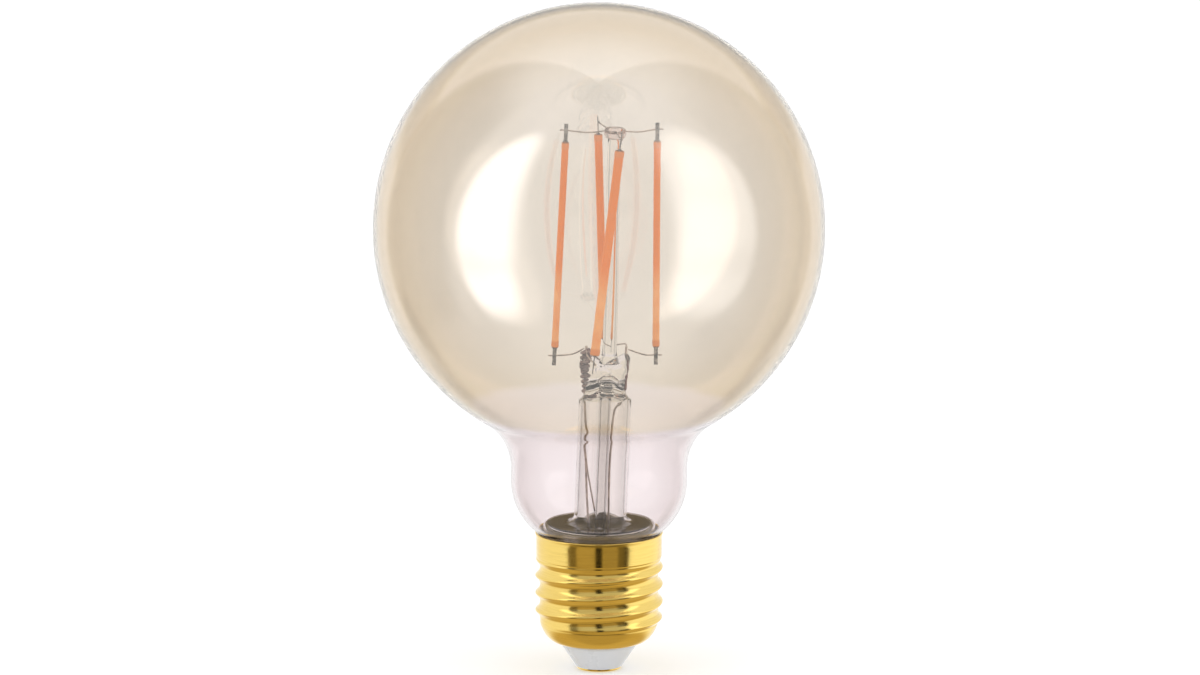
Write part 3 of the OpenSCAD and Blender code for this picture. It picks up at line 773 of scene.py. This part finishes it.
# The foot is drawn in, where the tube was tipped off
exhaust_outer = tube(exhaust_path, lambda t: EXHAUST_R * min(1, 0.35 + t * 14), 32)
exhaust_inner = tube(exhaust_path, lambda t: EXHAUST_BORE_R * min(1, 0.2 + t * 12), 32)
exhaust = piece(
    "exhaust_tube_drawn",
    *skin(exhaust_outer + exhaust_inner[::-1][:-1], joined=True),
    "stem_glass",
    "exhaust_tube",
)
exhaust.visible_shadow = False


# ---- Filaments ----

HEADS = [(-10.3, 0, 109.9), (8.5, 0, 111.2), (0.8, -9.7, 110.3), (-3.6, 9.7, 110.5)]
FEET = [(-10.8, 0, 67.1), (10, 0, 67.8), (-2.6, -9.7, 67.5), (-0.7, 9.7, 67.2)]
TURNED = [False, False, True, True]
NAMES = ["left", "right", "front", "back"]
COAT_LENGTH, COAT_W, COAT_T, COAT_ROUND = 43.3, 1.4, 1.8, 0.45
COAT_RINGS, COAT_SIDES, COAT_SQUARENESS = 150, 28, 3.2
COAT_SEED = 41
CRIMP_SWELL, BACK_SLIM = 0.10, 0.12


def filament_axes(i):
    """The middle of a filament, and its directions across the strip, through it and up it."""
    foot, head = Vector(FEET[i]), Vector(HEADS[i])
    up = (head - foot).normalized()
    swing = UP.rotation_difference(up)
    across = swing @ Vector((0, 1, 0) if TURNED[i] else (1, 0, 0))
    return (foot + head) / 2, across, up.cross(across), up


def along(i, t):
    """A point on a filament's axis, that far above its middle."""
    middle, _, _, up = filament_axes(i)
    return middle + up * t


def coat(i):
    """A filament's silicone coat: a rounded strip, a little uneven, and fuller over its crimps."""
    middle, across, through, up = filament_axes(i)
    random.seed(COAT_SEED + i)
    drift = random.uniform(0, 50)
    rings, shares = [], []
    for k in range(COAT_RINGS + 1):
        share = k / COAT_RINGS
        t = (share - 0.5) * COAT_LENGTH
        end = min(share, 1 - share) * COAT_LENGTH
        taper = math.sqrt(max(1 - max(1 - end / COAT_ROUND, 0) ** 2, 0.02))
        crimp = 1 + CRIMP_SWELL * (step(1.9, 1.2, end) if end > 0.3 else 1)
        crimp -= BACK_SLIM if NAMES[i] == "back" else 0
        ring = []
        for c in range(COAT_SIDES):
            a = TURN * c / COAT_SIDES
            ca, sa = math.cos(a), math.sin(a)
            reach = abs(ca) ** COAT_SQUARENESS + abs(sa) ** COAT_SQUARENESS
            reach **= -1 / COAT_SQUARENESS
            wobble = 1 + 0.05 * noise.noise(Vector((ca, sa, drift + t * 0.35)))
            wobble += 0.025 * noise.noise(Vector((ca * 2, sa * 2, drift + t * 1.9)))
            x = reach * ca * COAT_W / 2 * taper * wobble * crimp
            y = reach * sa * COAT_T / 2 * taper * wobble * crimp
            ring.append(tuple(on_stem(middle + up * t + across * x + through * y)))
        rings.append(ring)
        shares += [share] * COAT_SIDES
    made = piece(NAMES[i] + "_coat_moulded", *skin(rings), "phosphor_silicone", NAMES[i] + "_coat")
    values = made.data.attributes.new("along", "FLOAT", "POINT")
    values.data.foreach_set("value", shares)
    made.visible_glossy = False


for i in range(4):
    coat(i)


# ---- Wires ----

FINE_R = 0.15
TAB_T = 0.2
PAST_WELD = 1.3


def weld_side(i):
    """From the middle of a terminal to the wire welded on its face."""
    return (TAB_T / 2 + FINE_R) * Vector((1, 0, 0) if TURNED[i] else (0, 1, 0))


def beyond(i):
    """How far a wire runs on past its weld, away from the bulb's axis."""
    x, y, _ = HEADS[i]
    if TURNED[i]:
        return Vector((0, math.copysign(PAST_WELD, y), 0))
    return Vector((math.copysign(PAST_WELD, x), 0, 0))


def wire(name, points, r, slot, *nodes):
    """A drawn wire through the points, with its cut ends a little rounded."""
    path = [on_stem(p) for p in flowing(points, 10)]
    rings = tube(path, lambda t: r * min(1, 0.5 + t * 60, 0.5 + (1 - t) * 60))
    return piece(name, *skin(rings), slot, *nodes)


BUTTON_WIRE_Z, HOOK_DROP = 112.6, 0.25
LEFT_SEAL, RIGHT_SEAL = -4.3, 3.9
left_top, right_top = Vector((LEFT_SEAL, 0, 67.6)), Vector((RIGHT_SEAL, 0, 67.8))
SAGS = [0.4, 0.35, 0.35, 0.35]
for i in range(4):
    end = along(i, COAT_LENGTH / 2 + 2.2) + weld_side(i)
    out = beyond(i).normalized()
    aside = UP.cross(out)
    start = Vector((ROD_HEAD[0], 0, BUTTON_WIRE_Z)) + out * 1.2 + weld_side(i)
    middle = (start + end) / 2 - Vector((0, 0, SAGS[i]))
    # Inside the button each wire is hooked round, so that the glass holds it
    hub = Vector((ROD_HEAD[0], 0, BUTTON_WIRE_Z - HOOK_DROP))
    hook = [(0.9, -0.9), (0, -1.35), (-1.25, 0), (-0.9, 1)]
    route = [hub + aside * sideways + out * ahead for sideways, ahead in hook]
    route += [start + out * 0.6, middle, end, end + beyond(i)]
    node = f"upper_wire_{NAMES[i]}"
    wire(node + "_bent", route, FINE_R, "nickel_wire", node)

lower_starts = [
    left_top + Vector((-0.4, 0, -0.5)),
    right_top + Vector((0.4, 0, -0.6)),
    left_top + Vector((0, -0.4, -0.9)),
    right_top + Vector((0, 0.4, -0.2)),
]
for i, start in enumerate(lower_starts):
    end = along(i, -COAT_LENGTH / 2 - 1.6) + weld_side(i)
    middle = [
        start.lerp(end, 0.4) - Vector((0, 0.1, 0.6)),
        start.lerp(end, 0.6) - Vector((0, 0, 0.45)),
        start + Vector((0.3, -2.6, -0.7)),
        start + Vector((-0.4, 2.4, 0.2)),
    ][i]
    node = f"lower_wire_{NAMES[i]}"
    wire(node + "_bent", [start, middle, end, end + beyond(i)], FINE_R, "nickel_wire", node)

OUTER_TOP, OUTER_KNEE = 58.58, 57.3
LEFT_SPLICE = (-3.8, -1.2, 48.2)
LEFT_ROUTE = [
    (LEFT_SEAL, 0, OUTER_TOP), (LEFT_SEAL, 0, OUTER_KNEE), (-4.1, -0.5, 55), (-3.7, -1, 51),
    (-3.3, -1.2, 49.6), LEFT_SPLICE, (-3.4, -1.2, 44), (-2.9, -1, 36), (-2.1, -0.6, 28),
    (-1.8, 1.2, 25.6), (-1.8, 2.55, 23.6),
]
TAIL_ROUTE = [LEFT_SPLICE, (-3.1, -1.9, 43), (-2.3, -2, 38.6), (-1.2, -1.8, 33.4)]
RIGHT_ROUTE = [
    (RIGHT_SEAL, 0, OUTER_TOP), (RIGHT_SEAL, 0, OUTER_KNEE), (3.3, 0.9, 55.6), (2, 1.8, 53.4),
    (1.5, 1.7, 44), (1.7, 1.6, 32), (1.9, 1.9, 26), (1.6, 2.55, 23.6),
]
OUTER_R, TAIL_R_SHARE = 0.225, 0.7
SPLICE_R, COIL_STEPS, COIL_SIDES = 0.34, 14, 10


def coil(foot, head, turns, coil_r):
    """A wire wound loosely round the line between two points, as a splice is."""
    path, count = [], turns * COIL_STEPS
    for k in range(count + 1):
        t = k / count
        r = coil_r * (0.45 + 0.55 * step(0, 0.55, t)) * (1 + 0.18 * math.sin(5.3 * t * TURN))
        spot = Vector(foot).lerp(Vector(head), t)
        a = TURN * turns * t
        path.append(on_stem(spot + Vector((math.cos(a) * r, math.sin(a) * r * 0.8, 0))))
    return skin(tube(path, SPLICE_R, COIL_SIDES))


seal_path = [on_stem((LEFT_SEAL, 0, z)) for z in (58.6, 60, 62, 64)]
piece(
    "seal_wire_left_spliced",
    *join(
        skin(tube(seal_path, 0.3)),
        coil((LEFT_SEAL + 0.1, 0, 57.6), (LEFT_SEAL - 0.1, 0, 66.6), 9, 0.8),
        coil((LEFT_SEAL - 0.1, 0, 59.4), (LEFT_SEAL, 0, 66.9), 6, 0.45),
    ),
    "seal_copper",
    "seal_wire_left",
    finish=FINISHES["splice_metal"],
)
right_seal = [(RIGHT_SEAL + 0.1, 0, 58.6), (RIGHT_SEAL + 0.25, 0, 62), (RIGHT_SEAL, 0, 65.2)]
right_seal_path = [on_stem(p) for p in flowing(right_seal, 8)]
piece(
    "seal_wire_right_bent",
    *skin(tube(right_seal_path, lambda t: 0.28 + 0.05 * math.sin(17 * t))),
    "seal_copper",
    "seal_wire_right",
)
left_path = [on_stem(p) for p in flowing(LEFT_ROUTE, 10)]
tail_path = [on_stem(p) for p in flowing(TAIL_ROUTE, 10)]
piece(
    "outer_lead_left_bent",
    *join(skin(tube(left_path, OUTER_R)), skin(tube(tail_path, OUTER_R * TAIL_R_SHARE))),
    "tinned_copper",
    "outer_lead_left",
)
wire("outer_lead_right_bent", RIGHT_ROUTE, OUTER_R, "tinned_copper", "outer_lead_right")

# ---- Room, lights and camera ----


LAMP_WIDTH, LAMP_HEIGHT, LAMP_DISTANCE = 0.5, 1.0, 0.7
LAMP_TURN, LAMP_RISE, LAMP_RADIANCE = 62, 14, 0.5
LAMP_AIM = Vector((0, 0, 0.08))


def soft_box(name, azimuth):
    """An area lamp that faces the middle of the bulb from that bearing."""
    lamp = bpy.data.lights.new(name, "AREA")
    lamp.shape, lamp.size, lamp.size_y = "RECTANGLE", LAMP_WIDTH, LAMP_HEIGHT
    lamp.energy = LAMP_RADIANCE * math.pi * LAMP_WIDTH * LAMP_HEIGHT
    holder = bpy.data.objects.new(name, lamp)
    a, e = math.radians(azimuth), math.radians(LAMP_RISE)
    out = Vector((math.sin(a) * math.cos(e), -math.cos(a) * math.cos(e), math.sin(e)))
    holder.location = LAMP_AIM + out * LAMP_DISTANCE
    holder.rotation_mode = "QUATERNION"
    holder.rotation_quaternion = (-out).to_track_quat("-Z", "Y")
    bpy.context.scene.collection.objects.link(holder)
    holder.visible_glossy = holder.visible_transmission = False


soft_box("soft_box_left", -LAMP_TURN)
soft_box("soft_box_right", LAMP_TURN)

world = bpy.data.worlds.new("white_studio")
world.use_nodes = True
bpy.context.scene.world = world
room = Sheet(world.node_tree)
mirrored, scattered, inside, through, polished = (
    room.node("ShaderNodeLightPath", out=path).at_most_one()
    for path in (
        "Glossy Depth",
        "Diffuse Depth",
        "Transmission Depth",
        "Is Transmission Ray",
        "Is Singular Ray",
    )
)
heading = room.node("ShaderNodeTexCoord", out="Generated")
to_x, to_y, to_z = (room.split(heading, axis) for axis in "XYZ")
DEGREES = 180 / math.pi
# The bearing from the camera's side, to the right, and the height above the horizon
turn = room.node("ShaderNodeMath", {"operation": "ARCTAN2"}, {0: to_x, 1: 0 - to_y}) * DEGREES
rise = room.node("ShaderNodeMath", {"operation": "ARCSINE"}, {0: to_z}) * DEGREES


def window(value, low, high, edge):
    """1 between two values in degrees, with edges that soft."""
    return room.ramp(value, low - edge, low + edge) * room.ramp(value, high + edge, high - edge)


def oval(turn_at, rise_at, half_turn, half_rise):
    """A round soft box, as wide and as high as those angles on each side of its middle."""
    across, up = (turn - turn_at) / half_turn, (rise - rise_at) / half_rise
    return room.ramp(across * across + up * up, 1.1, 0.7)


# What clear glass mirrors: two round soft boxes between dark wings, and a dark shelf behind
backdrop = 1 - window(turn, -138, 138, 3)
neck_notch = 1 - window(rise, -15, -7, 7) * 0.4
shelf_shade = backdrop * window(rise, 4, 19, 4) * inside
left_wing = window(turn, -136, -84, 7) * window(rise, -40, 55, 12)
right_wing = window(turn, 86, 136, 7) * window(rise, -40, 55, 12)
below = window(rise, -100, -34, 8)
front_half = window(turn, -80, 80, 20)
glass_room = 0.65 - window(turn, -36, 34, 12) * 0.1 + backdrop * 0.35
glass_room = glass_room + room.ramp(rise, 35, 75) * 0.22
glass_room = glass_room - left_wing * 0.34 - right_wing * 0.14 - shelf_shade * 0.85
glass_room = glass_room + oval(-47, 5, 32, 50) * room.ramp(turn, -38, -52) * 1.35 * neck_notch
glass_room = glass_room + oval(58, 8, 32, 48) * room.ramp(turn, 34, 46) * 0.6 * neck_notch
glass_room = glass_room * (1 - below) + below * 0.5

# What bare metal mirrors: a dim table in front, with upright dark cards, and white walls round it
front = window(turn, -60, 57, 2)
low_down = window(rise, -36, -4, 4)
cards = window(turn, -60, -43, 2) * 0.6 + window(turn, -7, 6, 1.5) * 0.97
cards = cards + window(turn, 35, 57, 4) * 0.65 + window(turn, 48, 57, 3) * 0.2
cards = cards + window(turn, 9, 32, 4) * 0.2
metal_room = (1.05 - front * 0.42) * (1 - low_down) + low_down * (1.1 - front * 0.62)
metal_room = metal_room * (1 - cards * window(rise, -42, 20, 5))
tall_boxes = (window(turn, -81, -62, 6) + window(turn, 60, 81, 6)) * window(rise, 4, 52, 9)
metal_room = metal_room + tall_boxes * 0.7
metal_room = metal_room + low_down * window(turn, 64, 140, 8) * 0.15
metal_room = metal_room * (1 - below) + below * (0.66 - front_half * 0.14)
table_edge = window(rise, -41, -35, 1.5) * window(turn, -50, 50, 20)
metal_room = metal_room * (1 - table_edge * 0.8)
studio = polished * glass_room + (1 - polished) * metal_room
warm = (1 - polished) * (low_down * front + below) + polished * shelf_shade

# Seen straight or through glass: a little over full white, with a card at each side for the
# edges of the glass
WHITE, BEHIND_GLASS = 1.08, 1.03
side_cards = window(turn, -152, -140, 3) + window(turn, 140, 152, 3)
bent = BEHIND_GLASS - side_cards * 0.4 * window(rise, -45, 45, 8)
unscattered = 1 - scattered
reflected = mirrored * unscattered
open_air = WHITE * (1 - through) + bent * through
open_air = open_air * unscattered + WHITE * (1 - unscattered)
level = reflected * studio + (1 - reflected) * open_air
background = world.node_tree.nodes["Background"]
WARM_TABLE = (1, 0.78, 0.37)
room.fill(background.inputs["Color"], room.blend(warm * reflected, (1, 1, 1), WARM_TABLE))
room.fill(background.inputs["Strength"], level)

FLOOR_R, FLOOR_Z, FLOOR_COLUMNS = 4000, -0.15, 64
floor_mesh = bpy.data.meshes.new("studio_floor")
floor_rings = lathe([(FLOOR_R * share, FLOOR_Z) for share in (1, 0.3, 0.05)], FLOOR_COLUMNS)
floor_verts, floor_faces = skin(floor_rings, capped=False)
floor_faces.append(tuple(range(len(floor_verts) - FLOOR_COLUMNS, len(floor_verts))))
floor_mesh.from_pydata([Vector(v) * MM for v in floor_verts], [], floor_faces)
floor = bpy.data.objects.new("studio_floor", floor_mesh)
bpy.context.scene.collection.objects.link(floor)
pale = Finish("pale_floor", Roughness=0.9, Emission_Color=(1, 1, 1), Emission_Strength=0.15)
pale.set(Base_Color=pale.blend(pale.grain(120, 2.0), (0.91, 0.91, 0.91), (0.90, 0.90, 0.90)))
floor_mesh.materials.append(pale.material)
floor.visible_glossy = floor.visible_transmission = False

CAMERA_ELEVATION, CAMERA_DISTANCE = 10.8, 2.0
AIM = Vector((0.0002, 0, 0.0695))
FIELD_WIDTH, SENSOR = 0.24696, 36
camera = bpy.data.cameras.new("camera")
camera.sensor_width = SENSOR
camera.lens = SENSOR * CAMERA_DISTANCE / FIELD_WIDTH
camera.clip_start, camera.clip_end = 0.05, 20
eye = bpy.data.objects.new("camera", camera)
tilt = math.radians(CAMERA_ELEVATION)
back = Vector((0, -math.cos(tilt), math.sin(tilt)))
eye.location = AIM + back * CAMERA_DISTANCE
eye.rotation_mode = "QUATERNION"
eye.rotation_quaternion = (-back).to_track_quat("-Z", "Y")
bpy.context.scene.collection.objects.link(eye)
bpy.context.scene.camera = eye
bpy.context.scene.view_settings.view_transform = "Standard"
